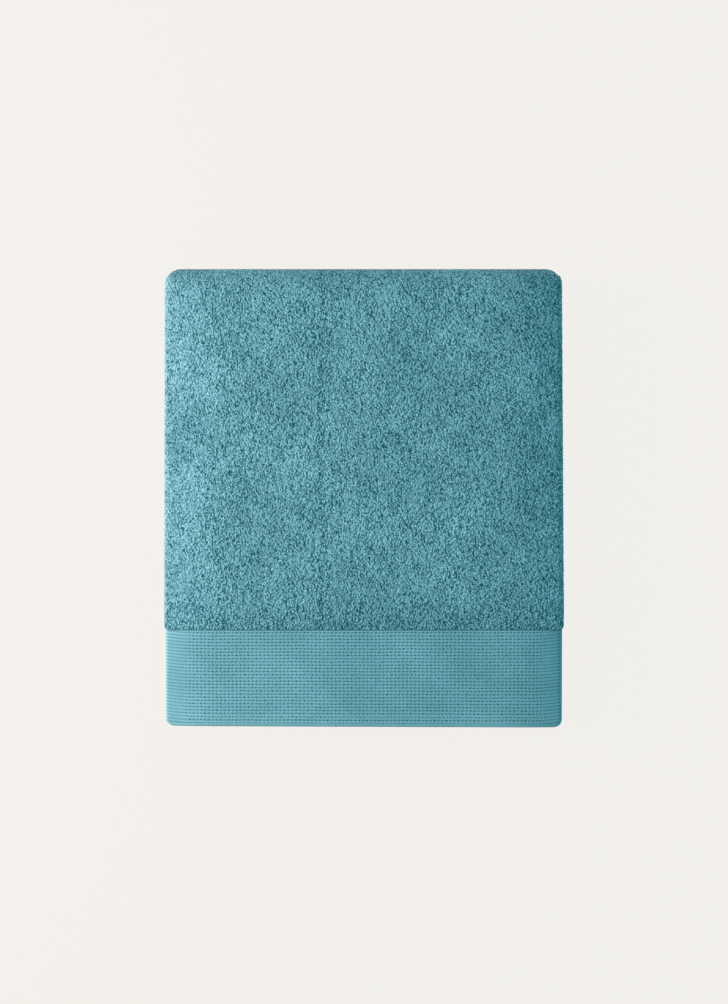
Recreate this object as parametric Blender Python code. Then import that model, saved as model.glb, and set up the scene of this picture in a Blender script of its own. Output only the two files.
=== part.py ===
"""Folded terry bath towel with ribbed flat-woven end borders.

The towel is folded in thirds along its length, then in half and in half again,
which leaves four panels of three plies.  X is the folded width, Y the folded
length (+Y is the back, where the folds are), Z is up.  Units are metres.
"""
import itertools
import math

import bmesh
import bpy
from mathutils import Matrix, Vector

# Folded towel
FOLDED_WIDTH = 0.332
FOLDED_LENGTH = 0.380

# Cloth
CLOTH_THICKNESS = 0.0037
PLY_GAP = 0.0003
PLIES_PER_PANEL = 3

# Flat-woven border and end hem, measured together from the towel's end
BORDER_LENGTH = 0.081
BORDER_THICKNESS = 0.0020
BORDER_INSET = 0.0018
END_HEM_DEPTH = 0.010
END_HEM_THICKNESS = 0.0027

# Side hems along the two long edges of the cloth, both tucked inside
SIDE_HEM_WIDTH = 0.010
SIDE_HEM_THICKNESS = 0.0026
FREE_EDGE_SETBACK = 0.0020

# Folds and corners
BACK_CORNER_RADIUS = 0.012
INNER_CORNER_RADIUS = 0.005
FRONT_CORNER_RADIUS = 0.006
FOLD_EYE_RADIUS = 0.0008
FRONT_FOLD_SETBACK = 0.0015
THIRD_END_SETBACK = 0.0030

# Facets
SIDE_BEND_STEPS = 8
QUARTER_FOLD_STEPS = 8
CORNER_STEPS = 5

# Worked out from the sizes above
PLY_PITCH = CLOTH_THICKNESS + PLY_GAP
HEM_PITCH = END_HEM_THICKNESS + PLY_GAP
PANEL_PITCH = PLIES_PER_PANEL * PLY_PITCH
PANEL_THICKNESS = PANEL_PITCH - PLY_GAP
BOTTOM_BASE = 0.0
SECOND_BASE = PANEL_PITCH
THIRD_BASE = 2 * PANEL_PITCH
TOP_BASE = 3 * PANEL_PITCH
LEFT_EDGE = -FOLDED_WIDTH / 2
RIGHT_EDGE = FOLDED_WIDTH / 2
FRONT_EDGE = -FOLDED_LENGTH / 2
BACK_EDGE = FOLDED_LENGTH / 2

# The upper half opens like a book about the tip of the outer back fold
HINGE_Z = THIRD_BASE - PLY_GAP / 2
HINGE_Y = BACK_EDGE + PLY_GAP / 2
BACK_FOLD_Y = BACK_EDGE - HINGE_Z
FRONT_FOLD_Z = SECOND_BASE - PLY_GAP / 2
FRONT_FOLD_TIP = FRONT_EDGE + FRONT_FOLD_SETBACK
FRONT_FOLD_Y = FRONT_FOLD_TIP + FRONT_FOLD_Z
THIRD_END = FRONT_EDGE + THIRD_END_SETBACK

TERRY_COLOUR = (0.100, 0.292, 0.342, 1.0)
BORDER_COLOUR = (0.119, 0.323, 0.376, 1.0)
HEM_COLOUR = (0.095, 0.275, 0.323, 1.0)


def clear_scene():
    """Remove every object that is in the scene."""
    for old in list(bpy.data.objects):
        bpy.data.objects.remove(old, do_unlink=True)


def fabric(name, colour, roughness):
    """A plain fabric material."""
    material = bpy.data.materials.new(name)
    material.use_nodes = True
    shader = material.node_tree.nodes["Principled BSDF"]
    shader.inputs["Base Color"].default_value = colour
    shader.inputs["Roughness"].default_value = roughness
    shader.inputs["Metallic"].default_value = 0.0
    material.diffuse_color = colour
    return material


def body_empty(name, location):
    """An empty that carries the pieces of one moving half."""
    empty = bpy.data.objects.new(name, None)
    empty.empty_display_size = 0.02
    empty.location = location
    bpy.context.collection.objects.link(empty)
    return empty


def arc(centre, radius, start, end, steps):
    """Points of an arc in the section plane, angles in degrees, both ends included."""
    points = []
    for step in range(steps + 1):
        angle = math.radians(start + (end - start) * step / steps)
        points.append((centre[0] + radius * math.cos(angle), centre[1] + radius * math.sin(angle)))
    return points


def thirds_section(left, right, pitch, thickness, hem_room):
    """Cloth of a panel folded in thirds, with its face ply on top.

    The left third lies under the face ply, and the right third lies under both.
    It is given as pairs of (x, height) points, one on the outer side of the cloth
    and one on its inner side, from the right third's free edge to the left third's.
    hem_room is what each free edge leaves clear for its side hem.
    """
    middle = [(ply + 0.5) * pitch - PLY_GAP / 2 for ply in range(PLIES_PER_PANEL)]
    low = [height - thickness / 2 for height in middle]
    high = [height + thickness / 2 for height in middle]
    left_radius = (high[2] - low[1]) / 2
    left_centre = (left + left_radius, (high[2] + low[1]) / 2)
    right_radius = (high[2] - low[0]) / 2
    right_centre = (right - right_radius, (high[2] + low[0]) / 2)
    right_third_end = left + FREE_EDGE_SETBACK + hem_room
    left_third_end = right_centre[0] - FREE_EDGE_SETBACK - hem_room
    outer = [(right_third_end, low[0])]
    outer += arc(right_centre, right_radius, -90, 90, SIDE_BEND_STEPS)
    outer += arc(left_centre, left_radius, 90, 270, SIDE_BEND_STEPS)
    outer += [(left_third_end, low[1])]
    inner = [(right_third_end, high[0])]
    inner += arc(right_centre, right_radius - thickness, -90, 90, SIDE_BEND_STEPS)
    inner += arc(left_centre, left_radius - thickness, 90, 270, SIDE_BEND_STEPS)
    inner += [(left_third_end, high[1])]
    return list(zip(outer, inner))


def stack_height(pitch):
    """Height of three plies laid at a pitch."""
    return PLIES_PER_PANEL * pitch - PLY_GAP


def flat_ring(y, base, face_up, inset, pitch, thickness, hem_room):
    """One ring of a flat panel at a given y."""
    section = thirds_section(LEFT_EDGE + inset, RIGHT_EDGE - inset, pitch, thickness, hem_room)
    ring = []
    for x, height in itertools.chain(*section):
        rise = height if face_up else stack_height(pitch) - height
        ring.append((x, y, base + rise))
    return ring


def loft(name, rings, material, parent):
    """A closed solid through rings of cloth, each a run of outer and inner points in turn."""
    mesh = bpy.data.meshes.new(name)
    bm = bmesh.new()
    loops = [[bm.verts.new(point) for point in ring] for ring in rings]
    count = len(rings[0])
    outline = list(range(0, count, 2)) + list(range(count - 1, 0, -2))
    for first, second in zip(loops, loops[1:]):
        for here, after in zip(outline, outline[1:] + outline[:1]):
            bm.faces.new((first[here], first[after], second[after], second[here]))
    for cap in (loops[0], loops[-1]):
        for index in range(0, count - 2, 2):
            bm.faces.new((cap[index], cap[index + 2], cap[index + 3], cap[index + 1]))
    bmesh.ops.recalc_face_normals(bm, faces=bm.faces)
    bm.to_mesh(mesh)
    bm.free()
    piece = bpy.data.objects.new(name, mesh)
    piece.data.materials.append(material)
    bpy.context.collection.objects.link(piece)
    piece.parent = parent
    piece.matrix_parent_inverse = Matrix.Translation(-Vector(parent.location))
    return piece


def corner_inset(distance, radius):
    """How far a rounded corner draws the side in, a distance behind the end."""
    if distance >= radius:
        return 0.0
    return radius - math.sqrt(radius ** 2 - (radius - distance) ** 2)


def terry_panel(name, front, base, face_up, material, parent):
    """One flat terry panel, folded in thirds, from its front to the back folds."""
    room = SIDE_HEM_WIDTH + PLY_GAP
    rings = []
    for y in (front, BACK_FOLD_Y - PLY_GAP):
        rings.append(flat_ring(y, base, face_up, 0.0, PLY_PITCH, CLOTH_THICKNESS, room))
    return loft(name, rings, material, parent)


def side_hem(name, left, front, ply, base, face_up, material, parent):
    """One side hem: a flat bar at the free edge of a panel's ply."""
    height = (ply + 0.5) * PLY_PITCH - PLY_GAP / 2
    if not face_up:
        height = PANEL_THICKNESS - height
    low = base + height - SIDE_HEM_THICKNESS / 2
    high = base + height + SIDE_HEM_THICKNESS / 2
    right = left + SIDE_HEM_WIDTH
    rings = []
    for y in (front, BACK_FOLD_Y - PLY_GAP):
        rings.append([(left, y, low), (left, y, high), (right, y, low), (right, y, high)])
    return loft(name, rings, material, parent)


def panel_with_hems(prefix, front, base, face_up, materials, parent):
    """A terry panel and the two side hems of its tucked plies."""
    terry_panel(prefix + "_panel", front, base, face_up, materials["terry"], parent)
    right_third_hem = LEFT_EDGE + FREE_EDGE_SETBACK
    right_bend_centre = RIGHT_EDGE - PANEL_THICKNESS / 2
    left_third_hem = right_bend_centre - FREE_EDGE_SETBACK - SIDE_HEM_WIDTH
    hem = materials["hem"]
    side_hem(prefix + "_side_hem_outer", right_third_hem, front, 0, base, face_up, hem, parent)
    side_hem(prefix + "_side_hem_inner", left_third_hem, front, 1, base, face_up, hem, parent)


def front_fold(material, parent):
    """The fold that joins the bottom and second panels at the front."""
    rings = []
    steps = 2 * QUARTER_FOLD_STEPS
    for step in range(steps + 1):
        angle = math.radians(-90 + 180 * step / steps)
        tip_distance = FRONT_FOLD_Z * (1 - math.cos(angle))
        inset = corner_inset(tip_distance, FRONT_CORNER_RADIUS)
        section = thirds_section(LEFT_EDGE + inset, RIGHT_EDGE - inset, PLY_PITCH, CLOTH_THICKNESS, 0.0)
        ring = []
        for x, height in itertools.chain(*section):
            radius = max(height + PLY_GAP / 2, FOLD_EYE_RADIUS)
            y = FRONT_FOLD_Y - radius * math.cos(angle)
            ring.append((x, y, FRONT_FOLD_Z + radius * math.sin(angle)))
        rings.append(ring)
    return loft("front_fold", rings, material, parent)


def back_fold_half(name, face_outside, upper, corner_radius, material, parent):
    """One quarter turn of a back fold, below or above the plane the towel opens at."""
    inner_radius = PANEL_PITCH + PLY_GAP / 2 if face_outside else PLY_GAP / 2
    outer_radius = inner_radius + PANEL_THICKNESS
    side = 1 if upper else -1
    rings = []
    for step in range(QUARTER_FOLD_STEPS + 1):
        angle = math.radians(90 * step / QUARTER_FOLD_STEPS)
        tip_distance = outer_radius * (1 - math.cos(angle))
        inset = corner_inset(tip_distance, corner_radius)
        section = thirds_section(LEFT_EDGE + inset, RIGHT_EDGE - inset, PLY_PITCH, CLOTH_THICKNESS, 0.0)
        ring = []
        for x, height in itertools.chain(*section):
            depth = height if face_outside else PANEL_THICKNESS - height
            radius = max(inner_radius + depth, FOLD_EYE_RADIUS)
            y = BACK_FOLD_Y + radius * math.cos(angle)
            rise = PLY_GAP / 2 + (radius - PLY_GAP / 2) * math.sin(angle)
            ring.append((x, y, HINGE_Z + side * rise))
        rings.append(ring)
    return loft(name, rings, material, parent)


def border(name, end, is_top, material, parent):
    """The flat-woven border of one towel end, thinning from the terry to the end hem."""
    rings = []
    stations = (
        (end + END_HEM_DEPTH + PLY_GAP, HEM_PITCH),
        (end + BORDER_LENGTH - PLY_GAP, PLY_PITCH),
    )
    for y, pitch in stations:
        base = THIRD_BASE + (PLIES_PER_PANEL * pitch if is_top else 0.0)
        rings.append(flat_ring(y, base, is_top, BORDER_INSET, pitch, BORDER_THICKNESS, 0.0))
    return loft(name, rings, material, parent)


def end_hem(name, end, is_top, material, parent):
    """The turned and doubled end of one towel end, with rounded corners."""
    base = THIRD_BASE + (PLIES_PER_PANEL * HEM_PITCH if is_top else 0.0)
    distances = []
    for step in range(CORNER_STEPS + 1):
        angle = math.radians(90 * step / CORNER_STEPS)
        distances.append(FRONT_CORNER_RADIUS * (1 - math.cos(angle)))
    distances.append(END_HEM_DEPTH)
    rings = []
    for distance in distances:
        inset = BORDER_INSET + corner_inset(distance, FRONT_CORNER_RADIUS)
        rings.append(flat_ring(end + distance, base, is_top, inset, HEM_PITCH, END_HEM_THICKNESS, 0.0))
    return loft(name, rings, material, parent)


def build():
    """Make both halves of the folded towel."""
    clear_scene()
    materials = {
        "terry": fabric("terry", TERRY_COLOUR, 0.95),
        "border": fabric("border", BORDER_COLOUR, 0.80),
        "hem": fabric("hem", HEM_COLOUR, 0.85),
    }
    lower = body_empty("lower_half", (0.0, 0.0, 0.0))
    upper = body_empty("upper_half", (0.0, HINGE_Y, HINGE_Z))
    terry = materials["terry"]

    front = FRONT_FOLD_Y + PLY_GAP
    panel_with_hems("bottom", front, BOTTOM_BASE, False, materials, lower)
    panel_with_hems("second", front, SECOND_BASE, True, materials, lower)
    front_fold(terry, lower)
    back_fold_half("outer_back_fold_lower", True, False, BACK_CORNER_RADIUS, terry, lower)
    back_fold_half("inner_back_fold_lower", False, False, INNER_CORNER_RADIUS, terry, lower)

    panel_with_hems("third", THIRD_END + BORDER_LENGTH, THIRD_BASE, False, materials, upper)
    panel_with_hems("top", FRONT_EDGE + BORDER_LENGTH, TOP_BASE, True, materials, upper)
    back_fold_half("outer_back_fold_upper", True, True, BACK_CORNER_RADIUS, terry, upper)
    back_fold_half("inner_back_fold_upper", False, True, INNER_CORNER_RADIUS, terry, upper)
    border("third_border", THIRD_END, False, materials["border"], upper)
    end_hem("third_end_hem", THIRD_END, False, materials["hem"], upper)
    border("top_border", FRONT_EDGE, True, materials["border"], upper)
    end_hem("top_end_hem", FRONT_EDGE, True, materials["hem"], upper)


build()
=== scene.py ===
"""Looks of the folded terry bath towel: cloth with real loops, ribbed borders, hems and stitching."""

import math

import bpy
import mathutils
import numpy as np
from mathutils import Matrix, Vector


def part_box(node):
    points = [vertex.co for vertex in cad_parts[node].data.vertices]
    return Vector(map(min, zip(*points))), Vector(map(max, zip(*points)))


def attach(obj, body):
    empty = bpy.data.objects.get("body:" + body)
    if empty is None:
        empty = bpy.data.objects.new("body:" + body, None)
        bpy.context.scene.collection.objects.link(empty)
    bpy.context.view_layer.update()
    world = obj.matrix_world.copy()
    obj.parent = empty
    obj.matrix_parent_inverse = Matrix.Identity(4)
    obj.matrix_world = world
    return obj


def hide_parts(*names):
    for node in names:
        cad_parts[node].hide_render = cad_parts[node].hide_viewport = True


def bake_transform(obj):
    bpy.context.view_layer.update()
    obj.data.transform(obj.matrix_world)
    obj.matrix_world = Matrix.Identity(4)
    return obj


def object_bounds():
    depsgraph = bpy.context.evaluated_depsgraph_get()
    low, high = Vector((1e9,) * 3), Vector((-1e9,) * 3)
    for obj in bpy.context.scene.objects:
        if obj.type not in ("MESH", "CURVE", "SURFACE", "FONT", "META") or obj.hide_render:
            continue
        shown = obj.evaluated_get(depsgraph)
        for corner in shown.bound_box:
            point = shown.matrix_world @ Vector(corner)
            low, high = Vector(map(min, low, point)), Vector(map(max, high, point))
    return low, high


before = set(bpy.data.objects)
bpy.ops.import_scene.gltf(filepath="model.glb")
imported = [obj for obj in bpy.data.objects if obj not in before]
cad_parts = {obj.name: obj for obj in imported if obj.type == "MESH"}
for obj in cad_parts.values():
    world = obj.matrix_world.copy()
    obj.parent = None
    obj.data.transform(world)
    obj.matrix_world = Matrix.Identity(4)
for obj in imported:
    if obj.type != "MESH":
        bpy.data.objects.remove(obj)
CAD_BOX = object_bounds()

# ---------------------------------------------------------------- sizes, in metres
LOW, HIGH = (np.array(corner) for corner in CAD_BOX)
LEFT, RIGHT = float(LOW[0]), float(HIGH[0])
FRONT, BACK = float(LOW[1]), float(HIGH[1])
TOP_Z = float(HIGH[2])
PLY_GAP = 0.0003
PLY_PITCH = (TOP_Z + PLY_GAP) / 12
CLOTH_T = PLY_PITCH - PLY_GAP
PANEL_PITCH = 3 * PLY_PITCH
PANEL_T = PANEL_PITCH - PLY_GAP
MID_Z = 2 * PANEL_PITCH - PLY_GAP / 2
BACK_FOLD_QUARTER = math.pi / 2 * MID_Z
RIGHT_FOLD_ARC = math.pi * (PLY_PITCH + CLOTH_T / 2)
LEFT_FOLD_ARC = math.pi * (PLY_PITCH / 2 + CLOTH_T / 2)
FOLD_Y = BACK - MID_Z
FRONT_FOLD_Z = PANEL_PITCH - PLY_GAP / 2
FRONT_FOLD_Y = float(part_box("front_fold")[0][1]) + FRONT_FOLD_Z
TOP_END = float(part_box("top_end_hem")[0][1])
THIRD_END = float(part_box("third_end_hem")[0][1])
BORDER_L = float(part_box("top_panel")[0][1]) - TOP_END
BORDER_T = 0.0020
HEM_DEPTH = 0.010
HEM_T = 0.0027
HEM_PITCH = HEM_T + PLY_GAP
SIDE_HEM_W = 0.010
SIDE_HEM_T = 0.0026
FREE_SETBACK = 0.0020
TOP_BORDER_INSET = 0.0022
THIRD_BORDER_INSET = 0.0032

# Back and front corners, seen from above
BACK_CORNER_R = 0.012
FRONT_CORNER_R = 0.0065
TERRY_CORNER_R = 0.004
CORNER_REACH = 0.045

# How much the plies are squeezed together at the tip of the back fold, as a share
TIP_SQUEEZE = 0.60

# Inside that fold the middle panels taper to a crease.  The taper ends this far above the hinge,
# measured on the outside of the fold, and the crease has three rows a step apart.
TAPER_END = 0.0030
CREASE_RISE = 0.000065
CREASE_FACE = 0.0004
CREASE_BACK = 0.0002
CREASE_STEP = 0.001

# How the top half gives towards its sides, and how far it is from level
SIDE_DROOP = 0.0056
SIDE_DROOP_REACH = 0.052
WAVE = 0.00045
WAVE_SIDE_REACH = 0.02
WAVE_BACK_REACH = 0.03
WAVE_DROP = 1.2

# Terry loops: each a short rounded bar, and some of them pressed flat.  Their heights are shares
# of the pile's depth, their shift is a share of their pitch, and their turn is in radians.
PILE_DEPTH = 0.0012
PILE_SHARE = 0.91
LOOP_PITCH = 0.00130
LOOP_RADIUS = (0.00046, 0.00066)
LOOP_HALF_LENGTH = (0.0001, 0.0006)
LOOP_HEIGHT = (0.5, 1.0)
LOOP_END_DROP = 0.35
LOOP_SHIFT = 0.46
LOOP_TURN = 0.85
PRESSED_SHARE = 0.16
PRESSED_HEIGHT = 0.08
OPENNESS = 0.92
LOW_PILE_REACH = 0.034
LOW_PILE_OPENNESS = 0.12
# How much darker the pile beside the border is painted, as shade
LOW_PILE_SHADE = 0.08
TILE_SIZE = 0.192
TILE_CELL = 0.0003

# Border weave: ribs, and dashes in the grooves between them except near the sides.  The widths
# of grooves and dashes and the dashes' shift are shares of a pitch.
RIB_PITCH = 0.00271
DASH_PITCH = 0.00327
RIB_DEPTH = 0.00050
RIB_CROWN = 0.00024
DASH_DEPTH = 0.00064
DASH_SHIFT = 0.10
DASH_UNEVEN = 0.35
GROOVE_WIDTH = 0.17
DASH_WIDTH = 0.27
SHALLOWER = 0.40
DASHES_END = 0.154
DASHES_FADE = 0.012
RIB_BEND = 0.0020
RIB_BEND_START = 0.140
RIB_BEND_REACH = 0.026
PLAIN_END = 0.0026
PLAIN_DEPTH = 0.0004
PLAIN_EDGE = 0.0004
SEAM_DEPTH = 0.0007
SEAM_WIDTH = 0.0010
STEP_WIDTH = 0.0005
# A strip along the end hem's lip is painted darker as shade
LIP_WIDTH = 0.0008
LIP_SHADE = 0.75

# Hems and their stitching
HEM_ROOM = SIDE_HEM_W + 0.0002
SIDE_STITCH = 0.0075
END_STITCH = PLAIN_END + 2 * RIB_PITCH
STITCH_PITCH = 0.0029
STITCH_RISE = 0.0005
STITCH_MARGIN = 0.0040
THREAD_R = 0.00022
THREAD_SIDES = 6
STITCH_POINTS = 8
# Tone of the thread where it dips into the cloth, darker as painted shade
THREAD_SHADE = 0.2
HEM_NOSE_END = 0.0022
HEM_NOSE_TURNS = (0, 25, 50, 70, 82)
HEM_NOSE_THINNEST = 0.12
HEM_BLEND = 0.002
HEM_DIP = 0.00045
HEM_DIP_WIDTH = 0.0005
# Hem tone, and how much darker its dip along the stitch line is painted, as shade
HEM_PALE = 0.75
HEM_DIP_SHADE = 0.55
HEM_DIP_FULL = 0.0004
HEM_DIP_START = 0.003

# How far the towel's end runs out of square with its sides
SKEW = 0.0014

# Spacing of points: on faces that show, on tucked plies, on the cloth's back, along hems
FINE = 0.0005
MIDDLE_STEP = FINE * 1.8
HIDDEN = 0.0060
HINGE_HIDDEN = 0.0014
BACK_SIDE = 0.0040
BACK_SIDE_HIDDEN = 0.0120
HEM_STEP = 0.0020
FRONT_FOLD_STEP = 0.0009
FRONT_FOLD_LEAST_R = 0.0006
FRONT_FOLD_ROWS = 44
BACK_FOLD_LEAST_ROWS = 12
LENS_ROWS = 26
STITCH_ROW_STEP = 0.0002

# Spacing of each border's points, along the towel and across it
TOP_BORDER_STEPS = (FINE * 0.8, FINE * 1.1)
THIRD_BORDER_STEPS = (FINE * 1.6, FINE * 2.2)

# Spacing round folds and on the underside, as multiples of a face's
SIDE_FOLD_STEP = 1.25
BACK_FOLD_STEP = 1.2
UNDERSIDE_STEP = 2

# Bake map of a strip: how much of its width the cloth's face and back take, how much of its
# length the rows take, and where the two end caps lie past them
MAP_FACE = 0.90
MAP_BACK = 0.08
MAP_TUCKED = 0.10
MAP_ROWS = 0.97
MAP_CAP = (0.976, 0.984)
MAP_CAP_PITCH = 0.012

# The same for hems and threads, whose end caps are small discs
RING_WIDTH = 0.9
RING_ROWS = 0.96
DISC_V = 0.98
DISC_SIZE = (0.3, 0.008)
DISC_PITCH = 0.0005

rng = np.random.default_rng(20)


# ---------------------------------------------------------------- terry loops
def loop_tile():
    """A repeating square of terry loops: heights from 0, between the loops, to 1, at the tallest."""
    cells = int(round(TILE_SIZE / TILE_CELL))
    across = int(round(TILE_SIZE / LOOP_PITCH))
    gx, gy = np.meshgrid(np.arange(across), np.arange(across))
    centre = np.stack([gx.ravel(), gy.ravel()], axis=1).astype(float)
    centre += 0.5 + rng.uniform(-LOOP_SHIFT, LOOP_SHIFT, centre.shape)
    centre *= TILE_SIZE / across
    count = len(centre)
    angle = rng.normal(math.pi / 2, LOOP_TURN, count)
    half = rng.uniform(*LOOP_HALF_LENGTH, count)
    radius = rng.uniform(*LOOP_RADIUS, count)
    height = rng.uniform(*LOOP_HEIGHT, count)
    height[rng.uniform(0, 1, count) < PRESSED_SHARE] = PRESSED_HEIGHT
    reach = int(math.ceil((LOOP_HALF_LENGTH[1] + LOOP_RADIUS[1]) / TILE_CELL))
    tile = np.zeros((cells, cells))
    home = np.floor(centre / TILE_CELL).astype(int)
    for dy in range(-reach, reach + 1):
        for dx in range(-reach, reach + 1):
            spot = home + (dx, dy)
            away = (spot + 0.5) * TILE_CELL - centre
            along = away[:, 0] * np.cos(angle) + away[:, 1] * np.sin(angle)
            beside = np.clip(along, -half, half)
            off_x = away[:, 0] - beside * np.cos(angle)
            off_y = away[:, 1] - beside * np.sin(angle)
            near = (off_x ** 2 + off_y ** 2) / radius ** 2
            drop = 1 - LOOP_END_DROP * (beside / half) ** 2
            rise = height * np.sqrt(np.clip(1 - near, 0, 1)) * drop
            np.maximum.at(tile, (spot[:, 1] % cells, spot[:, 0] % cells), rise)
    return tile


TILE = loop_tile()


def pile_at(u, v):
    """Loop height at cloth coordinates u, v, in metres."""
    cells = TILE.shape[0]
    x = np.mod(u / TILE_CELL, cells)
    y = np.mod(v / TILE_CELL, cells)
    x0 = np.floor(x).astype(int)
    y0 = np.floor(y).astype(int)
    fx = x - x0
    fy = y - y0
    x0 %= cells
    y0 %= cells
    x1 = (x0 + 1) % cells
    y1 = (y0 + 1) % cells
    low = TILE[y0, x0] * (1 - fx) + TILE[y0, x1] * fx
    high = TILE[y1, x0] * (1 - fx) + TILE[y1, x1] * fx
    return low * (1 - fy) + high * fy


def ruffled(u, v):
    """Where the pile is brushed open, above 0, or lies close and smooth, below 0.

    Waves of unrelated lengths, so that no pattern shows.  crease is a faint line down the left half.
    """
    broad = np.sin(u * 71 + 2.2 + 1.1 * np.sin(v * 43)) * np.sin(v * 83 + 0.9 * np.sin(u * 37))
    patch = np.sin(u * 173 + v * 59 + 0.7) * np.sin(v * 191 - u * 47)
    tuft = np.sin(u * 571 + 2.1 * np.sin(v * 263)) * np.sin(v * 487 + 1.7 * np.sin(u * 331 + 1))
    crease = np.exp(-((u + 0.035 + 0.0015 * np.sin(v * 34)) / 0.0022) ** 2)
    return 0.040 * broad + 0.030 * patch + 0.15 * tuft + 0.18 * crease


def terry(u, v):
    """Relief of terry cloth, as a depth below its outer surface, and its pile height for painted shade.

    The pile lies lower beside the border, where the flat weave holds it down, and is painted darker there
    as shade.
    """
    beside = np.clip(1 - np.abs(v - TOP_END - BORDER_L) / LOW_PILE_REACH, 0, 1) ** 1.5
    openness = OPENNESS + ruffled(u, v) + LOW_PILE_OPENNESS * beside
    pile = np.clip(1 - (1 - pile_at(u, v)) * openness, 0, 1)
    # The second value is the pile height, painted a little darker beside the border as shade
    return -PILE_DEPTH * (1 - PILE_SHARE * pile), pile * (1 - LOW_PILE_SHADE * beside)


def ribbed(u, v):
    """Relief of the flat-woven border, as a depth below its outer surface, and a height for painted
    shade.

    v is the distance from the towel's end.  Ribs run across the towel.  The grooves, the line beside
    the terry and the end hem's lip are painted darker as shade.
    """
    bend = RIB_BEND * np.clip((np.abs(u) - RIB_BEND_START) / RIB_BEND_REACH, 0, 1) ** 2
    wander = 0.00008 * np.sin(u * 61 + 2.0) + 0.00006 * np.sin(u * 143)
    row = (v - PLAIN_END - bend + wander) / RIB_PITCH
    line = np.round(row)
    groove = np.exp(-((row - line) / GROOVE_WIDTH) ** 2)
    dash = u / DASH_PITCH + DASH_SHIFT * np.sin(line * 2.4)
    column = np.round(dash)
    uneven = np.sin(column * 12.9 + line * 7.3) * np.sin(column * 4.1 - line * 3.7 + 1)
    tooth = np.exp(-((dash - column) / DASH_WIDTH) ** 2) * (1 + DASH_UNEVEN * uneven)
    middle = np.clip((DASHES_END - np.abs(u)) / DASHES_FADE, 0.0, 1)
    depth = groove * (RIB_DEPTH * (1 - SHALLOWER * middle) + DASH_DEPTH * middle * tooth)
    crown = RIB_CROWN / 2 * (1 - np.cos(2 * math.pi * (row - 0.5)))
    woven = np.clip((v - PLAIN_END + PLAIN_EDGE) / STEP_WIDTH, 0, 1)
    depth = np.where(v < PLAIN_END, PLAIN_DEPTH * woven, depth)
    crown = np.where(v < PLAIN_END, 0.0, crown)
    beside_terry = np.clip((v - BORDER_L + SEAM_WIDTH) / STEP_WIDTH, 0, 1)
    depth = np.maximum(depth, SEAM_DEPTH * beside_terry)
    # Painted shade: darker where the weave lies deeper, in the grooves and beside the terry
    height = 1 - np.clip(depth / (RIB_DEPTH * (1 - SHALLOWER) + DASH_DEPTH), 0, 1)
    # Painted shade along the end hem's rounded lip
    height -= LIP_SHADE * np.clip(1 - v / LIP_WIDTH, 0, 1)
    return -np.clip(depth - crown, 0, None), height


# ---------------------------------------------------------------- one cross-section
class Columns:
    """Where the points of a cross-section lie along the cloth: which part of the fold, and how far."""

    def __init__(self, part, share):
        self.part = np.array(part)
        self.share = np.array(share)


def spiral_columns(face_step, hidden_step):
    """Columns across a panel folded in thirds, from the right third's free edge to the left third's."""
    width = RIGHT - LEFT
    counts = (
        max(2, int(width / hidden_step)),
        max(8, int(RIGHT_FOLD_ARC / (face_step * SIDE_FOLD_STEP))),
        max(2, int(width / face_step)),
        max(6, int(LEFT_FOLD_ARC / (face_step * SIDE_FOLD_STEP))),
        max(2, int(width / hidden_step)),
    )
    part, share = [], []
    for index, count in enumerate(counts):
        part += [index] * count
        share += list(np.arange(count) / count)
    part.append(4)
    share.append(1.0)
    return Columns(part, share)


def spiral(columns, pitch, thickness, hem_room):
    """Centre line and outward normal of the cloth in a panel folded in thirds, and its cloth coordinate.

    Heights run from 0 at the back of the panel to its face ply on top.  hem_room is how far the
    tucked plies stop short of the towel's long edges.
    """
    h = [(ply + 0.5) * pitch - PLY_GAP / 2 for ply in range(3)]
    r_right = (h[2] - h[0]) / 2
    r_left = (h[2] - h[1]) / 2
    x_right = RIGHT - r_right - thickness / 2
    x_left = LEFT + r_left + thickness / 2
    lower_end = LEFT + FREE_SETBACK + hem_room
    middle_end = x_right - FREE_SETBACK - hem_room
    part, t = columns.part, columns.share
    x = np.zeros(len(t))
    z = np.zeros(len(t))
    nx = np.zeros(len(t))
    nz = np.zeros(len(t))
    u = np.zeros(len(t))
    arc_right = math.pi * (r_right + thickness / 2)
    arc_left = math.pi * (r_left + thickness / 2)

    k = part == 0
    x[k] = lower_end + (x_right - lower_end) * t[k]
    z[k] = h[0]
    nz[k] = -1
    u[k] = x_right + arc_right + (x_right - x[k])
    k = part == 1
    angle = math.pi * (t[k] - 0.5)
    x[k] = x_right + r_right * np.cos(angle)
    z[k] = (h[0] + h[2]) / 2 + r_right * np.sin(angle)
    nx[k] = np.cos(angle)
    nz[k] = np.sin(angle)
    u[k] = x_right + arc_right * (1 - t[k])
    k = part == 2
    x[k] = x_right + (x_left - x_right) * t[k]
    z[k] = h[2]
    nz[k] = 1
    u[k] = x[k]
    k = part == 3
    angle = math.pi * (t[k] + 0.5)
    x[k] = x_left + r_left * np.cos(angle)
    z[k] = (h[1] + h[2]) / 2 + r_left * np.sin(angle)
    nx[k] = np.cos(angle)
    nz[k] = np.sin(angle)
    u[k] = x_left - arc_left * t[k]
    k = part == 4
    x[k] = x_left + (middle_end - x_left) * t[k]
    z[k] = h[1]
    nz[k] = -1
    u[k] = x_left - arc_left - (x[k] - x_left)
    return x, z, nx, nz, u


# ---------------------------------------------------------------- where a panel point lies
def corner_inset(distance, radius):
    """How far a rounded corner draws the side in, a distance behind the end."""
    distance = np.clip(distance, 0, radius)
    return radius - np.sqrt(radius ** 2 - (radius - distance) ** 2)


def drawn_in(x, left_in, right_in):
    """x with each side drawn in, and the middle left where it is."""
    right_share = np.clip((x - (RIGHT - CORNER_REACH)) / CORNER_REACH, 0, 1) ** 2
    left_share = np.clip(((LEFT + CORNER_REACH) - x) / CORNER_REACH, 0, 1) ** 2
    return x - right_in * right_share + left_in * left_share


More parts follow.
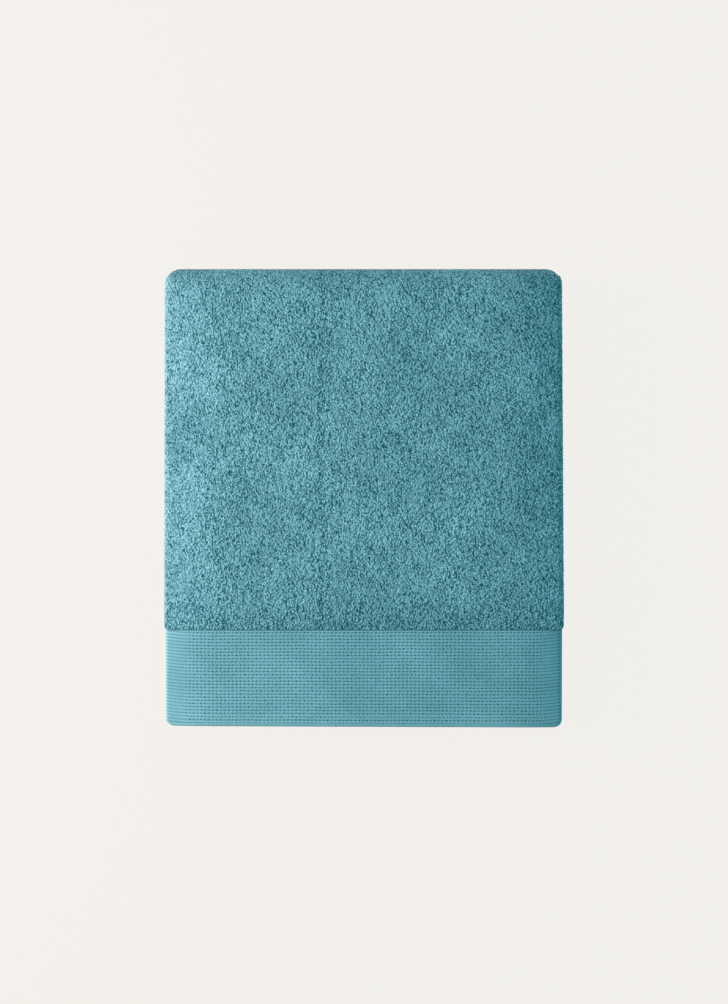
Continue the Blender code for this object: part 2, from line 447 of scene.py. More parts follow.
def settle(x, y, z):
    """Height of a point once the top half has given towards its sides and is a little uneven.

    The unevenness is a sum of waves of unrelated lengths, and fades out at the sides and back.
    """
    edge = np.minimum(RIGHT - x, x - LEFT)
    give = SIDE_DROOP * np.clip(1 - edge / SIDE_DROOP_REACH, 0, 1) ** 2
    above = np.clip((z - MID_Z) / MID_Z, 0, None)
    wave = WAVE * (
        np.sin(x * 23 + y * 9 + 0.6) * np.sin(y * 17 - x * 5 + 1.1)
        + 0.7 * np.sin(x * 61 - y * 14 + 2.2)
        + 0.45 * np.sin(x * 97 + y * 31) * np.sin(y * 43 + 0.4)
    )
    soften = np.clip(edge / WAVE_SIDE_REACH, 0, 1) * np.clip((BACK - y) / WAVE_BACK_REACH, 0, 1)
    return z - above * give + above * (wave * soften - WAVE * WAVE_DROP)


def panel_sides(panel, y):
    """How far the left and right sides of a panel lie inside the widest line, at y.

    The top panel's are nearly straight.  The others wander by about half a millimetre, each its own way.
    """
    along = (y - FRONT) / (BACK - FRONT)
    if panel == "top":
        return 0.0001 + 0.0006 * along, 0.0001 + 0.0023 * np.clip(along - 0.25, 0, 1)
    if panel == "third":
        return 0.0013 + 0.0004 * math.sin(31 * y), 0.0016 + 0.0005 * math.sin(24 * y + 1)
    if panel == "second":
        return 0.0008 + 0.0004 * math.sin(19 * y + 2), 0.0012 + 0.0005 * math.sin(27 * y + 4)
    return 0.0011 + 0.0004 * math.sin(22 * y + 5), 0.0007 + 0.0004 * math.sin(29 * y + 2)


# ---------------------------------------------------------------- rows of cloth
class Row:
    """One row across a strip of cloth: how its section is laid in space."""

    def __init__(self, v, place, left_in, right_in,
                 pitch=PLY_PITCH, thickness=CLOTH_T, hem_room=HEM_ROOM):
        self.v = v
        self.place = place
        self.left_in = left_in
        self.right_in = right_in
        self.pitch = pitch
        self.thickness = thickness
        self.hem_room = hem_room

    def lay(self, x, height, beside=0.0):
        """World points of section points x, height, moved beside the row by a distance."""
        y, z = self.place(height)
        y = y + beside + SKEW * (RIGHT - x) / (RIGHT - LEFT) * self.skew_share()
        z = settle(x, y, z)
        return np.stack([drawn_in(x, self.left_in, self.right_in), y, z], axis=1)

    def skew_share(self):
        """How much of the end's skew this row has: all at the end, none from the border's line on."""
        if self.hem_room:
            return 0.0
        return max(0.0, 1 - self.v / BORDER_L)


def steps(start, end, size):
    """Evenly spaced values from start towards end, without the end."""
    count = max(1, int(round(abs(end - start) / size)))
    return [start + (end - start) * index / count for index in range(count)]


def flat_place(y, base, face_up):
    """Placing of a row that lies flat at y."""
    if face_up:
        return lambda height: (np.full_like(height, y), base + height)
    return lambda height: (np.full_like(height, y), base + PANEL_T - height)


def fold_share(angle):
    """Thickness of the outer back fold at an angle, as a share of a flat panel's."""
    return 1 - TIP_SQUEEZE * math.cos(angle) ** 2


def outer_fold_place(angle):
    """Placing of a row on the outer back fold.  Its plies are squeezed at the tip."""

    def place(height):
        radius = MID_Z - (PANEL_T - height) * fold_share(angle)
        return FOLD_Y + radius * math.cos(angle), MID_Z + radius * math.sin(angle)

    return place


def inner_edge(angle):
    """Radius of the room inside the outer back fold."""
    return MID_Z - PANEL_T * fold_share(angle) - 2 * PLY_GAP


def lens_place(angle, upper):
    """Placing of a row where the middle panels taper into the outer fold."""
    radius = inner_edge(angle)
    y = FOLD_Y + radius * math.cos(angle)
    room = radius * math.sin(angle) - PLY_GAP / 2
    share = room / PANEL_T
    side = 1 if upper else -1

    def place(height):
        return np.full_like(height, y), MID_Z + side * (PLY_GAP / 2 + (PANEL_T - height) * share)

    return place


def crease_place(rise, y_face, y_back):
    """Placing of a row in the crease between the middle panels' faces."""

    def place(height):
        y = y_back + (y_face - y_back) * height / PANEL_T
        return y, np.full_like(height, MID_Z + rise)

    return place


def front_fold_place(angle):
    """Placing of a row on the front fold, from the bottom panel to the second."""

    def place(height):
        radius = np.maximum(height + PLY_GAP / 2, FRONT_FOLD_LEAST_R)
        return FRONT_FOLD_Y - radius * math.cos(angle), FRONT_FOLD_Z + radius * math.sin(angle)

    return place


# ---------------------------------------------------------------- meshes
def section_points(columns, row, relief=None):
    """World points of one side of a row of cloth, with cloth coordinates and pile height for painted
    shade.

    With a relief they are on the cloth's face, and without one on its back.
    """
    x, height, nx, nz, u = spiral(columns, row.pitch, row.thickness, row.hem_room)
    out = np.full_like(u, -row.thickness / 2)
    pile = np.full_like(u, 0.5)
    if relief:
        depth, pile = relief(u, np.full_like(u, row.v))
        out = row.thickness / 2 + depth
    return row.lay(x + nx * out, height + nz * out), u, pile


def flat_size(rows):
    """Width and length a strip of cloth was cut to, from its free edges and its first and last row."""
    first, last = rows[0], rows[-1]
    u = spiral(spiral_columns(BACK_SIDE, HIDDEN), first.pitch, first.thickness, first.hem_room)[4]
    return float(u.max() - u.min()), float(abs(last.v - first.v))


def add_mesh(name, vertices, quads, triangles, uv, cloth, pile, material):
    """A mesh object from arrays, with its bake map and cloth attributes."""
    mesh = bpy.data.meshes.new(name)
    mesh.vertices.add(len(vertices))
    mesh.vertices.foreach_set("co", vertices.astype(np.float32).ravel())
    corners = np.concatenate([quads.ravel(), triangles.ravel()]).astype(np.int32)
    mesh.loops.add(len(corners))
    mesh.loops.foreach_set("vertex_index", corners)
    starts = np.concatenate([
        np.arange(len(quads)) * 4,
        len(quads) * 4 + np.arange(len(triangles)) * 3,
    ]).astype(np.int32)
    mesh.polygons.add(len(starts))
    mesh.polygons.foreach_set("loop_start", starts)
    mesh.polygons.foreach_set("use_smooth", np.ones(len(starts), bool))
    mesh.update(calc_edges=True)
    layer = mesh.uv_layers.new(name="OFBake")
    layer.uv.foreach_set("vector", uv.astype(np.float32).ravel())
    attribute = mesh.attributes.new("cloth", "FLOAT_VECTOR", "POINT")
    attribute.data.foreach_set("vector", cloth.astype(np.float32).ravel())
    # The pile attribute also carries painted shade: the materials colour the cloth darker where it is low
    attribute = mesh.attributes.new("pile", "FLOAT", "POINT")
    attribute.data.foreach_set("value", pile.astype(np.float32))
    mesh.materials.append(material)
    piece = bpy.data.objects.new(name, mesh)
    bpy.context.collection.objects.link(piece)
    return piece


def zipper(first, second, first_share, second_share):
    """Triangles that close the strip between two chains of points that run side by side."""
    triangles = []
    i = j = 0
    while i < len(first) - 1 or j < len(second) - 1:
        step_first = j == len(second) - 1
        if i < len(first) - 1 and j < len(second) - 1:
            step_first = first_share[i + 1] <= second_share[j + 1]
        if step_first:
            triangles.append((first[i], first[i + 1], second[j]))
            i += 1
        else:
            triangles.append((first[i], second[j + 1], second[j]))
            j += 1
    return np.array(triangles)


def cloth_strip(name, rows, face_step, relief, material, hidden_step=HIDDEN):
    """A closed strip of cloth, three plies deep, through rows."""
    outer = spiral_columns(face_step, hidden_step)
    inner = spiral_columns(BACK_SIDE, BACK_SIDE_HIDDEN)
    n_out, n_in = len(outer.share), len(inner.share)
    count = n_out + n_in
    points, cloth, pile_and_shade_rows = [], [], []
    for row in rows:
        top, u, pile = section_points(outer, row, relief)
        under, u_in, pile_in = section_points(inner, row)
        points.append(np.concatenate([top, under[::-1]]))
        all_u = np.concatenate([u, u_in[::-1]])
        cloth.append(np.stack([all_u, np.full(count, row.v), np.zeros(count)], axis=1))
        pile_and_shade_rows.append(np.concatenate([pile, pile_in[::-1]]))
    vertices = np.concatenate(points)
    cloth = np.concatenate(cloth)
    pile = np.concatenate(pile_and_shade_rows)
    n_rows = len(rows)
    here = np.arange(count)
    after = (here + 1) % count
    base = (np.arange(n_rows - 1) * count)[:, None]
    quads = np.stack([base + here, base + after, base + count + after, base + count + here], axis=2)
    quads = quads.reshape(-1, 4)

    outer_share = outer.part + outer.share
    inner_share = inner.part + inner.share
    chain_out = np.arange(n_out)
    chain_in = count - 1 - np.arange(n_in)
    cap = zipper(chain_out, chain_in, outer_share, inner_share)
    last = (n_rows - 1) * count
    flipped = cap[:, ::-1]
    triangles = np.concatenate([flipped, last + cap])

    # Bake map: the plies that are tucked away take little of the width
    weight_of_part = np.array([MAP_TUCKED, 1.0, 1.0, 1.0, MAP_TUCKED])
    width = RIGHT - LEFT
    lengths = np.array([width, RIGHT_FOLD_ARC, width, LEFT_FOLD_ARC, width]) * weight_of_part
    ends = np.concatenate([[0], np.cumsum(lengths)])
    map_out = np.interp(outer_share, np.arange(6), ends / ends[-1]) * MAP_FACE
    map_in = 1.0 - MAP_BACK * np.interp(inner_share, np.arange(6), ends / ends[-1])
    along = np.array([row.v for row in rows])
    stride = np.abs(np.diff(along))
    map_v = np.concatenate([[0], np.cumsum(stride)])
    map_v = MAP_ROWS * map_v / map_v[-1]
    map_u = np.concatenate([map_out, map_in[::-1]])
    next_u = np.concatenate([map_u[1:], [1.0]])
    next_u[n_out - 1] = 1.0 - MAP_BACK
    quad_uv = np.zeros((n_rows - 1, count, 4, 2))
    quad_uv[:, :, 0, 0] = map_u
    quad_uv[:, :, 3, 0] = map_u
    quad_uv[:, :, 1, 0] = next_u
    quad_uv[:, :, 2, 0] = next_u
    quad_uv[:, :, 0, 1] = map_v[:-1, None]
    quad_uv[:, :, 1, 1] = map_v[:-1, None]
    quad_uv[:, :, 2, 1] = map_v[1:, None]
    quad_uv[:, :, 3, 1] = map_v[1:, None]
    ring_cap_v = np.concatenate([np.full(n_out, MAP_CAP[0]), np.full(n_in, MAP_CAP[1])])
    cap_u = np.concatenate([outer_share / 5, (inner_share / 5)[::-1]])
    first_uv = np.stack([cap_u[flipped], ring_cap_v[flipped]], axis=2)
    second_uv = np.stack([cap_u[cap], ring_cap_v[cap] + MAP_CAP_PITCH], axis=2)
    uv = np.concatenate([quad_uv.reshape(-1, 2), first_uv.reshape(-1, 2), second_uv.reshape(-1, 2)])
    piece = add_mesh(name, vertices, quads, triangles, uv, cloth, pile, material)
    face_outward(piece)
    return piece


def ring_strip(name, sections, clothes, pile_and_shade_rows, shells, material):
    """Closed shells swept through sections of points.  sections is (rows, points, 3) for each shell."""
    vertices, cloth, pile, quads, triangles, quad_uv, cap_uv = [], [], [], [], [], [], []
    first = 0
    for shell in range(shells):
        points = sections[shell]
        n_rows, count = points.shape[:2]
        here = np.arange(count)
        after = (here + 1) % count
        base = first + (np.arange(n_rows - 1) * count)[:, None]
        faces = [base + here, base + count + here, base + count + after, base + after]
        quads.append(np.stack(faces, axis=2).reshape(-1, 4))
        fan = np.stack([np.zeros(count - 2, int), here[1:-1], here[2:]], axis=1)
        triangles += [first + fan, first + (n_rows - 1) * count + fan[:, ::-1]]
        map_u = (shell + here / count * RING_WIDTH) / shells
        next_u = map_u + RING_WIDTH / count / shells
        map_v = RING_ROWS * np.arange(n_rows) / (n_rows - 1)
        uv = np.zeros((n_rows - 1, count, 4, 2))
        uv[:, :, 0, 0] = uv[:, :, 1, 0] = map_u
        uv[:, :, 2, 0] = uv[:, :, 3, 0] = next_u
        uv[:, :, 0, 1] = uv[:, :, 3, 1] = map_v[:-1, None]
        uv[:, :, 1, 1] = uv[:, :, 2, 1] = map_v[1:, None]
        quad_uv.append(uv.reshape(-1, 2))
        turn = 2 * math.pi * here / count
        disc_u = (shell + 0.5 + DISC_SIZE[0] * np.cos(turn)) / shells
        disc = np.stack([disc_u, DISC_V + DISC_SIZE[1] * np.sin(turn)], axis=1)
        cap_uv += [disc[fan].reshape(-1, 2), (disc[fan[:, ::-1]] + (0, DISC_PITCH)).reshape(-1, 2)]
        vertices.append(points.reshape(-1, 3))
        cloth.append(clothes[shell].reshape(-1, 3))
        pile.append(pile_and_shade_rows[shell].ravel())
        first += n_rows * count
    piece = add_mesh(
        name, np.concatenate(vertices), np.concatenate(quads), np.concatenate(triangles),
        np.concatenate(quad_uv + cap_uv), np.concatenate(cloth), np.concatenate(pile), material)
    face_outward(piece)
    return piece


def hem_profile():
    """Half of a turned side hem, seen along its length.

    It is given as distances from the free edge and the half thickness there.
    """
    nose = SIDE_HEM_T / 2
    turned = np.radians([0, 30, 60, 85])
    across = list(nose * (1 - np.cos(turned)))
    half = list(nose * np.sin(turned))
    for distance in np.linspace(HEM_NOSE_END, SIDE_HEM_W, 17):
        dip = HEM_DIP * math.exp(-((distance - SIDE_STITCH) / HEM_DIP_WIDTH) ** 2)
        across.append(distance)
        half.append(nose - dip)
    return np.array(across), np.array(half)


def side_hems(name, rows):
    """The two side hems of a strip of cloth: turned edges on its tucked plies."""
    across, half = hem_profile()
    ring_across = np.concatenate([across, across[:0:-1]])
    ring_height = np.concatenate([half, -half[:0:-1]])
    fold_x = RIGHT - PLY_PITCH - CLOTH_T / 2
    sections, clothes, pile_and_shade_rows = [], [], []
    for edge, inward, ply in ((LEFT + FREE_SETBACK, 1, 0), (fold_x - FREE_SETBACK, -1, 1)):
        x = edge + inward * ring_across
        height = (ply + 0.5) * PLY_PITCH - PLY_GAP / 2 + ring_height
        sections.append(np.array([row.lay(x, height) for row in rows]))
        clothes.append(np.array([
            np.stack([ring_across + ply, np.full_like(x, row.v), ring_height], axis=1) for row in rows]))
        # Painted shade in the dip along the stitch line
        groove = np.clip((SIDE_HEM_T / 2 - np.abs(ring_height)) / HEM_DIP_FULL, 0, 1)
        groove = groove * (ring_across > HEM_DIP_START)
        pile_and_shade_rows.append(np.tile(HEM_PALE - HEM_DIP_SHADE * groove, (len(rows), 1)))
    return ring_strip(name, sections, clothes, pile_and_shade_rows, 2, HEM)


def end_stitches(name, row):
    """Lockstitching on an end hem's face: one thread that dips into the cloth at each stitch."""
    columns = spiral_columns(STITCH_PITCH / STITCH_POINTS, HIDDEN)
    x, height, nx, nz, u = spiral(columns, row.pitch, row.thickness, 0.0)
    shown = (u > LEFT + STITCH_MARGIN) & (u < RIGHT - STITCH_MARGIN)
    x, height, nx, nz, u = (values[shown] for values in (x, height, nx, nz, u))
    arch = np.sqrt(np.abs(np.sin(math.pi * u / STITCH_PITCH)))
    lift = row.thickness / 2 - RIB_DEPTH + STITCH_RISE * arch
    sections, clothes = [], []
    for turn in np.linspace(0, 2 * math.pi, THREAD_SIDES, endpoint=False):
        out = lift + THREAD_R * math.cos(turn)
        sections.append(row.lay(x + nx * out, height + nz * out, THREAD_R * math.sin(turn)))
        clothes.append(np.stack([u, np.full_like(u, row.v + turn * THREAD_R), out], axis=1))
    sections = [np.stack(sections, axis=1)]
    clothes = [np.stack(clothes, axis=1)]
    # Painted shade where the thread dips into the cloth
    shade = THREAD_SHADE + (1 - THREAD_SHADE) * arch
    pile_and_shade_rows = [np.tile(shade[:, None], (1, THREAD_SIDES))]
    return ring_strip(name, sections, clothes, pile_and_shade_rows, 1, THREAD)


def face_outward(piece):
    """Turn the whole mesh if its faces point inwards."""
    mesh = piece.data
    count = len(mesh.polygons)
    centres = np.zeros(count * 3)
    normals = np.zeros(count * 3)
    areas = np.zeros(count)
    mesh.polygons.foreach_get("center", centres)
    mesh.polygons.foreach_get("normal", normals)
    mesh.polygons.foreach_get("area", areas)
    volume = ((centres * normals).reshape(-1, 3).sum(axis=1) * areas).sum() / 3
    if volume < 0:
        mesh.flip_normals()


# ---------------------------------------------------------------- materials
# Pale is the dye with a painted highlight, as on lit loop tips, and deep the dye in painted shade, as in
# the gaps between loops; the cloth's own colour lies between them
PALE_LIT = (0.350, 0.640, 0.735)
DEEP_SHADED = (0.001, 0.080, 0.114)
ROUGHNESS = (0.86, 0.98)
COTTON_SPECULAR = 0.22
FUZZ_ROUGHNESS = 0.45
FUZZ_TINT = (0.75, 0.93, 1.0, 1.0)
FIBRE_HEIGHT = 0.0004
TONE_REACH = 1.6
YARN_RANGE = (0.70, 1.30)

# Small patches are this much as uneven as the broad clouds.  Noise scales are per metre of cloth.
PATCH_SHARE = 0.6
CLOUD_SCALE = 17
PATCH_SCALE = 75
ROUGH_SCALE = 400
FIBRE_SCALE = 1300


def node(tree, kind, **inputs):
    """A new node with some of its inputs set."""
    made = tree.nodes.new(kind)
    for name, value in inputs.items():
        made.inputs[name.replace("_", " ")].default_value = value
    return made


def noise(tree, vector, scale, detail, roughness=0.5):
    """A noise texture read at cloth coordinates."""
    made = node(tree, "ShaderNodeTexNoise", Scale=scale, Detail=detail, Roughness=roughness)
    tree.links.new(vector, made.inputs["Vector"])
    return made.outputs["Fac"]


def spread(tree, value, low, high, to_low, to_high):
    """A value mapped from one range to another."""
    made = tree.nodes.new("ShaderNodeMapRange")
    made.inputs["From Min"].default_value = low
    made.inputs["From Max"].default_value = high
    made.inputs["To Min"].default_value = to_low
    made.inputs["To Max"].default_value = to_high
    tree.links.new(value, made.inputs["Value"])
    return made.outputs["Result"]


def times(tree, first, second):
    """The product of two values."""
    made = tree.nodes.new("ShaderNodeMath")
    made.operation = "MULTIPLY"
    tree.links.new(first, made.inputs[0])
    tree.links.new(second, made.inputs[1])
    return made.outputs["Value"]


def cloth_material(name, pile_shade_range, grain, sheen, bump, clouds):
    """Dyed cotton with painted shade: darker where the pile attribute is low, as shade in gaps and
    grooves, and paler where it is high, as a painted highlight on the loop tips.  It also varies from
    place to place and from yarn to yarn.

    The pile range is how pale it is at no pile and at full pile, so how strong its painted shade and
    highlight are, and clouds how uneven its colour is.
    """
    material = bpy.data.materials.new(name)
    material.use_nodes = True
    tree = material.node_tree
    shader = tree.nodes["Principled BSDF"]
    shader.inputs["Specular IOR Level"].default_value = COTTON_SPECULAR
    shader.inputs["Sheen Weight"].default_value = sheen
    shader.inputs["Sheen Roughness"].default_value = FUZZ_ROUGHNESS
    shader.inputs["Sheen Tint"].default_value = FUZZ_TINT
    where = tree.nodes.new("ShaderNodeAttribute")
    where.attribute_name = "cloth"
    cloth = where.outputs["Vector"]
    reading = tree.nodes.new("ShaderNodeAttribute")
    reading.attribute_name = "pile"
    pile = reading.outputs["Fac"]
    # Painted shade and highlight: darker where the pile attribute is low, paler where it is high
    depth = spread(tree, pile, 0.0, 1.0, *pile_shade_range)
    patches = clouds * PATCH_SHARE
    cloud = spread(tree, noise(tree, cloth, CLOUD_SCALE, 3), 0.32, 0.68, 1 - clouds, 1 + clouds)
    patch = spread(tree, noise(tree, cloth, PATCH_SCALE, 2), 0.3, 0.7, 1 - patches, 1 + patches)
    yarn = spread(tree, noise(tree, cloth, grain, 2), 0.25, 0.75, *YARN_RANGE)
    shade = times(tree, times(tree, depth, cloud), times(tree, patch, yarn))
    # Mapped to itself, which only keeps it within its ends
    tone = spread(tree, shade, 0.0, TONE_REACH, 0.0, TONE_REACH)
    mix = tree.nodes.new("ShaderNodeMix")
    mix.data_type = "RGBA"
    mix.blend_type = "MIX"
    mix.clamp_factor = False
    mix.inputs["A"].default_value = (*DEEP_SHADED, 1)
    mix.inputs["B"].default_value = (*PALE_LIT, 1)
    tree.links.new(tone, mix.inputs["Factor"])
    tree.links.new(mix.outputs["Result"], shader.inputs["Base Color"])
    rough = spread(tree, noise(tree, cloth, ROUGH_SCALE, 2), 0.3, 0.7, *ROUGHNESS)
    tree.links.new(rough, shader.inputs["Roughness"])
    fibre = node(tree, "ShaderNodeBump", Strength=bump, Distance=FIBRE_HEIGHT)
    tree.links.new(noise(tree, cloth, FIBRE_SCALE, 3, 0.65), fibre.inputs["Height"])
    tree.links.new(fibre.outputs["Normal"], shader.inputs["Normal"])
    return material


TERRY = cloth_material(
    "terry", pile_shade_range=(0.01, 0.84), grain=900, sheen=0.12, bump=0.7, clouds=0.14)
BORDER = cloth_material(
    "border", pile_shade_range=(0.00, 0.455), grain=1000, sheen=0.08, bump=0.5, clouds=0.10)
HEM = cloth_material(
    "hem", pile_shade_range=(0.20, 0.42), grain=1100, sheen=0.10, bump=0.5, clouds=0.04)
THREAD = cloth_material(
    "thread", pile_shade_range=(0.30, 0.50), grain=2500, sheen=0.10, bump=0.4, clouds=0.03)


# ---------------------------------------------------------------- rows of each strip
def sides_row(v, place, panel, y):
    """A row whose sides follow its panel and the rounded back corners."""
    left_in, right_in = panel_sides(panel, y)
    drawn = float(corner_inset(BACK - y, BACK_CORNER_R))
    return Row(v, place, left_in + drawn, right_in + drawn)


def outer_rows(step):
    """Rows from the top panel's border line, round the outer back fold, to the bottom panel's front."""
    rows = []
    line = TOP_END + BORDER_L
    for y in steps(line, FOLD_Y, step):
        row = sides_row(y, flat_place(y, 3 * PANEL_PITCH, True), "top", y)
        pulled = 0.5 * float(corner_inset(y - line, TERRY_CORNER_R))
        row.left_in += pulled
        row.right_in += pulled
        rows.append(row)
    upper = max(BACK_FOLD_LEAST_ROWS, int(BACK_FOLD_QUARTER / (step * BACK_FOLD_STEP)))
    lower = max(BACK_FOLD_LEAST_ROWS, int(BACK_FOLD_QUARTER / (step * UNDERSIDE_STEP)))
    angles = [math.pi / 2 * (1 - i / upper) for i in range(upper)]
    angles += [-math.pi / 2 * i / lower for i in range(lower)]
    for angle in angles:
        y = FOLD_Y + MID_Z * math.cos(angle)
        v = FOLD_Y + MID_Z * (math.pi / 2 - angle)
        top_share = 0.5 + 0.5 * math.sin(angle)
        top_in = panel_sides("top", y)
        low_in = panel_sides("bottom", y)
        drawn = float(corner_inset(BACK - y, BACK_CORNER_R))
        left_in = top_in[0] * top_share + low_in[0] * (1 - top_share) + drawn
        right_in = top_in[1] * top_share + low_in[1] * (1 - top_share) + drawn
        rows.append(Row(v, outer_fold_place(angle), left_in, right_in))
    turned = FOLD_Y + MID_Z * math.pi
    end = FRONT_FOLD_Y
    for y in steps(FOLD_Y, end, step * UNDERSIDE_STEP) + [end]:
        v = turned + (FOLD_Y - y)
        rows.append(sides_row(v, flat_place(y, 0.0, False), "bottom", y))
    return rows


def inner_rows(step):
    """Rows from the third panel's border line, through the crease, to the second panel's front."""
    rows = []
    for y in steps(THIRD_END + BORDER_L, FOLD_Y, step):
        rows.append(sides_row(y, flat_place(y, 2 * PANEL_PITCH, False), "third", y))
    last = math.asin(TAPER_END / MID_Z)
    angles = np.linspace(math.pi / 2, last, LENS_ROWS)[:-1]
    start = rows[-1].v + step
    for angle in angles:
        y = FOLD_Y + inner_edge(angle) * math.cos(angle)
        rows.append(sides_row(start + (y - FOLD_Y), lens_place(angle, True), "third", y))
    tip = FOLD_Y + inner_edge(last) * math.cos(last)
    tip_v = start + tip - FOLD_Y
    left_in, right_in = panel_sides("third", tip)
    drawn = float(corner_inset(BACK - tip, BACK_CORNER_R))
    for index, rise in enumerate((CREASE_RISE, 0.0, -CREASE_RISE)):
        place = crease_place(rise, tip - CREASE_FACE, tip + CREASE_BACK)
        v = tip_v + CREASE_STEP * (index + 1)
        rows.append(Row(v, place, left_in + drawn, right_in + drawn))
    after = tip_v + 4 * CREASE_STEP
    for angle in angles[::-1]:
        y = FOLD_Y + inner_edge(angle) * math.cos(angle)
        v = after + tip - y
        rows.append(sides_row(v, lens_place(angle, False), "second", y))
    turned = after + tip - FOLD_Y
    for y in steps(FOLD_Y, FRONT_FOLD_Y, step)[1:] + [FRONT_FOLD_Y]:
        rows.append(sides_row(turned + FOLD_Y - y, flat_place(y, PANEL_PITCH, True), "second", y))
    return rows


def front_rows():
    """Rows round the front fold, from the bottom panel to the second."""
    rows = []
    tip = FRONT_FOLD_Y - FRONT_FOLD_Z
    for index in range(FRONT_FOLD_ROWS + 1):
        share = index / FRONT_FOLD_ROWS
        angle = math.pi * (share - 0.5)
        y = FRONT_FOLD_Y - FRONT_FOLD_Z * math.cos(angle)
        low_in = panel_sides("bottom", y)
        high_in = panel_sides("second", y)
        drawn = float(corner_inset(y - tip, FRONT_CORNER_R))
        left_in = low_in[0] * (1 - share) + high_in[0] * share + drawn
        right_in = low_in[1] * (1 - share) + high_in[1] * share + drawn
        v = FRONT_FOLD_Z * math.pi * share
        rows.append(Row(v, front_fold_place(angle), left_in, right_in))
    return rows


def border_pitch(distance):
    """Spacing of the border's plies, which close up from the terry to the end hem."""
    share = np.clip((distance - HEM_DEPTH) / (BORDER_L - HEM_DEPTH), 0, 1)
    return HEM_PITCH + (PLY_PITCH - HEM_PITCH) * share


def border_rows(end, is_top, step):
    """Rows of a border, from its line with the terry to the rounded nose of its end hem."""
    rows = []
    nose = HEM_T / 2
    rounding = [nose * (1 - math.sin(math.radians(turn))) for turn in HEM_NOSE_TURNS]
    distances = steps(BORDER_L, nose, step) + rounding
    for distance in distances:
        y = end + distance
        pitch = float(border_pitch(distance))
        doubled = np.clip((HEM_DEPTH + HEM_BLEND / 2 - distance) / HEM_BLEND, 0, 1)
        thickness = BORDER_T + (HEM_T - BORDER_T) * doubled
        if distance < nose:
            thickness = HEM_T * max(HEM_NOSE_THINNEST, math.sqrt(1 - (1 - distance / nose) ** 2))
        stack = 3 * pitch - PLY_GAP
        base = 2 * PANEL_PITCH + (3 * pitch if is_top else 0)
        if is_top:
            place = flat_place(y, base, True)
        else:
            place = flat_place(y, base + stack - PANEL_T, False)
        side_in = TOP_BORDER_INSET if is_top else THIRD_BORDER_INSET
        side_in += float(corner_inset(distance, FRONT_CORNER_R))
        rows.append(Row(distance, place, side_in, side_in, pitch, thickness, 0.0))
    return rows


# ---------------------------------------------------------------- the cloth pieces
outer_cloth = cloth_strip("outer_panels_cloth", outer_rows(FINE), FINE, terry, TERRY)
# The middle panels' tucked plies show at the hinge when the towel is open, so they are finer
inner_cloth = cloth_strip(
    "middle_panels_cloth", inner_rows(MIDDLE_STEP), MIDDLE_STEP, terry, TERRY, HINGE_HIDDEN)
front_cloth = cloth_strip("front_fold_cloth", front_rows(), FRONT_FOLD_STEP, terry, TERRY)
top_border = cloth_strip(
    "top_border_cloth", border_rows(TOP_END, True, TOP_BORDER_STEPS[0]),
    TOP_BORDER_STEPS[1], ribbed, BORDER)
third_border = cloth_strip(
    "third_border_cloth", border_rows(THIRD_END, False, THIRD_BORDER_STEPS[0]),
    THIRD_BORDER_STEPS[1], ribbed, BORDER)

outer_hems = side_hems("outer_panels_side_hems", outer_rows(HEM_STEP))
inner_hems = side_hems("middle_panels_side_hems", inner_rows(HEM_STEP))
front_hems = side_hems("front_fold_side_hems", front_rows())
stitches = {}
for piece_name, end, is_top in (("top", TOP_END, True), ("third", THIRD_END, False)):
    close_rows = border_rows(end, is_top, STITCH_ROW_STEP)
    stitch_row = min(close_rows, key=lambda row: abs(row.v - END_STITCH))
    stitches[piece_name] = end_stitches(piece_name + "_end_hem_stitches", stitch_row)


# ---------------------------------------------------------------- what each piece stands for and rides on
def opens_with_fold(piece, nodes):
    """A piece that passes through a back fold: it takes the place of the fold's parts and rides on
    neither half.
    """
    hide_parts(*nodes)
    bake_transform(piece)


def rides(piece, half, nodes):
    """A piece that stays with one half of the towel."""
    if nodes:
        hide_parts(*nodes)
    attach(piece, half)


opens_with_fold(outer_cloth, (
    "top_panel", "bottom_panel", "outer_back_fold_lower", "outer_back_fold_upper"))
opens_with_fold(inner_cloth, (
    "third_panel", "second_panel", "inner_back_fold_lower", "inner_back_fold_upper"))
opens_with_fold(outer_hems, (
    "top_side_hem_inner", "top_side_hem_outer",
    "bottom_side_hem_inner", "bottom_side_hem_outer"))
opens_with_fold(inner_hems, (
    "third_side_hem_inner", "third_side_hem_outer",
    "second_side_hem_inner", "second_side_hem_outer"))
rides(front_cloth, "lower_half", ("front_fold",))
rides(front_hems, "lower_half", ())
rides(top_border, "upper_half", ("top_border", "top_end_hem"))
rides(third_border, "upper_half", ("third_border", "third_end_hem"))
for thread in stitches.values():
    rides(thread, "upper_half", ())

BORDER_FLAT = flat_size(border_rows(TOP_END, True, HEM_STEP))
flat_size(outer_rows(HEM_STEP))
# Three plies turn together here, so the cut's length is the middle ply's
FRONT_FLAT = (flat_size(front_rows())[0], math.pi * FRONT_FOLD_Z / 2)
flat_size(inner_rows(HEM_STEP))


# ---------------------------------------------------------------- floor, light and camera
BACKDROP = (0.875, 0.850, 0.810, 1)
FLOOR_COLOUR = (0.02, 0.02, 0.02, 1)
FLOOR_REACH = 6.0
FLOOR_DROP = 0.0004
KEY_PLACE = (-1.05, 0.10, 0.46)
KEY_TARGET = (0.0, 0.0, 0.04)
KEY_SIZE = (0.7, 0.35)
KEY_POWER = 26.0
KEY_COLOUR = (1.0, 0.82, 0.77)
SKY_COLOUR = (0.43, 0.96, 1.0, 1)
SKY_STRENGTH = 0.68
CAMERA_DISTANCE = 2.4
CAMERA_Y = -0.00375
VIEW_HEIGHT = 0.8262


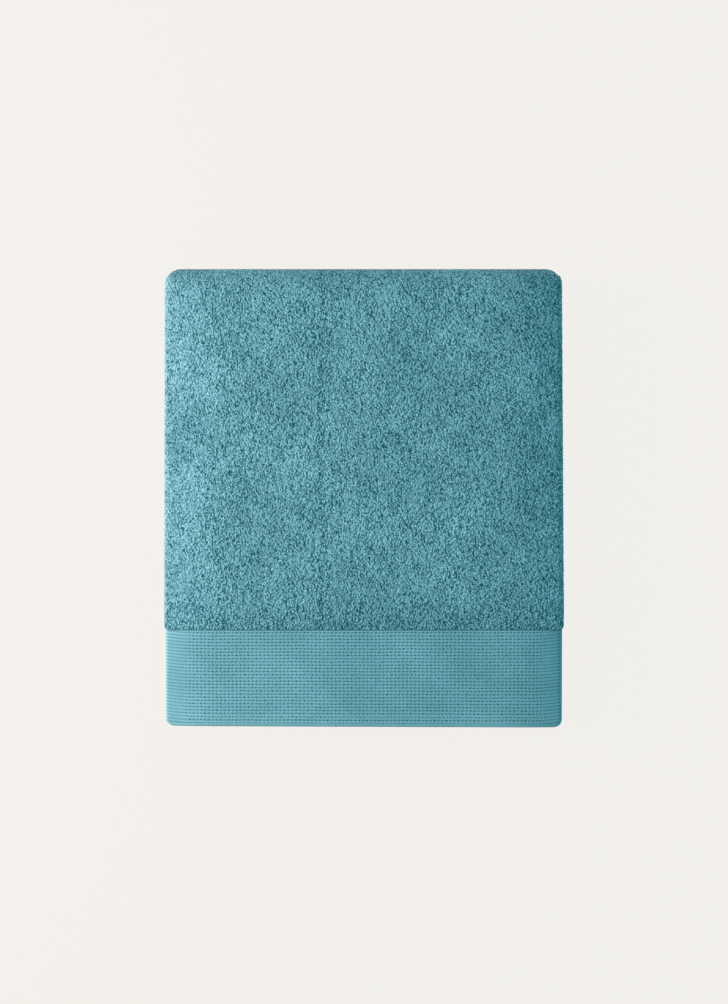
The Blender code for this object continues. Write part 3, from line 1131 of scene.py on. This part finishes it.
def add_stage():
    """A plain pale floor."""
    mesh = bpy.data.meshes.new("floor")
    corners = [(x * FLOOR_REACH, y * FLOOR_REACH, 0) for x, y in ((-1, -1), (1, -1), (1, 1), (-1, 1))]
    mesh.from_pydata(corners, [], [(0, 1, 2, 3)])
    floor = bpy.data.objects.new("floor", mesh)
    floor.location.z = -FLOOR_DROP
    bpy.context.collection.objects.link(floor)
    material = bpy.data.materials.new("floor")
    material.use_nodes = True
    shader = material.node_tree.nodes["Principled BSDF"]
    shader.inputs["Base Color"].default_value = FLOOR_COLOUR
    shader.inputs["Roughness"].default_value = 1.0
    shader.inputs["Specular IOR Level"].default_value = 0.0
    shader.inputs["Emission Color"].default_value = BACKDROP
    shader.inputs["Emission Strength"].default_value = 1.0
    mesh.materials.append(material)


def area_light(name, place, target, size, power, colour):
    """A soft light that looks at a target."""
    data = bpy.data.lights.new(name, "AREA")
    data.shape = "RECTANGLE"
    data.size, data.size_y = size
    data.energy = power
    data.color = colour
    lamp = bpy.data.objects.new(name, data)
    bpy.context.collection.objects.link(lamp)
    aim = np.array(target) - np.array(place)
    lamp.location = place
    lamp.rotation_mode = "QUATERNION"
    lamp.rotation_quaternion = mathutils.Vector(aim).to_track_quat("-Z", "Y")


def add_lights():
    """A large key light raking in from the left, and even cool light from all around.

    The background itself is seen as pale as the floor.
    """
    area_light("key", KEY_PLACE, KEY_TARGET, KEY_SIZE, KEY_POWER, KEY_COLOUR)
    world = bpy.data.worlds.new("world")
    bpy.context.scene.world = world
    world.use_nodes = True
    tree = world.node_tree
    light = tree.nodes["Background"]
    light.inputs["Color"].default_value = SKY_COLOUR
    light.inputs["Strength"].default_value = SKY_STRENGTH
    seen = node(tree, "ShaderNodeBackground", Color=BACKDROP, Strength=1.0)
    path = tree.nodes.new("ShaderNodeLightPath")
    choice = tree.nodes.new("ShaderNodeMixShader")
    tree.links.new(path.outputs["Is Camera Ray"], choice.inputs[0])
    tree.links.new(light.outputs[0], choice.inputs[1])
    tree.links.new(seen.outputs[0], choice.inputs[2])
    tree.links.new(choice.outputs[0], tree.nodes["World Output"].inputs["Surface"])


def add_camera():
    """A camera straight above the towel."""
    data = bpy.data.cameras.new("camera")
    data.lens = data.sensor_width * CAMERA_DISTANCE / VIEW_HEIGHT
    camera = bpy.data.objects.new("camera", data)
    camera.location = (0.0, CAMERA_Y, TOP_Z + CAMERA_DISTANCE)
    bpy.context.collection.objects.link(camera)
    bpy.context.scene.camera = camera


add_stage()
add_lights()
add_camera()
bpy.context.scene.view_settings.view_transform = "Standard"
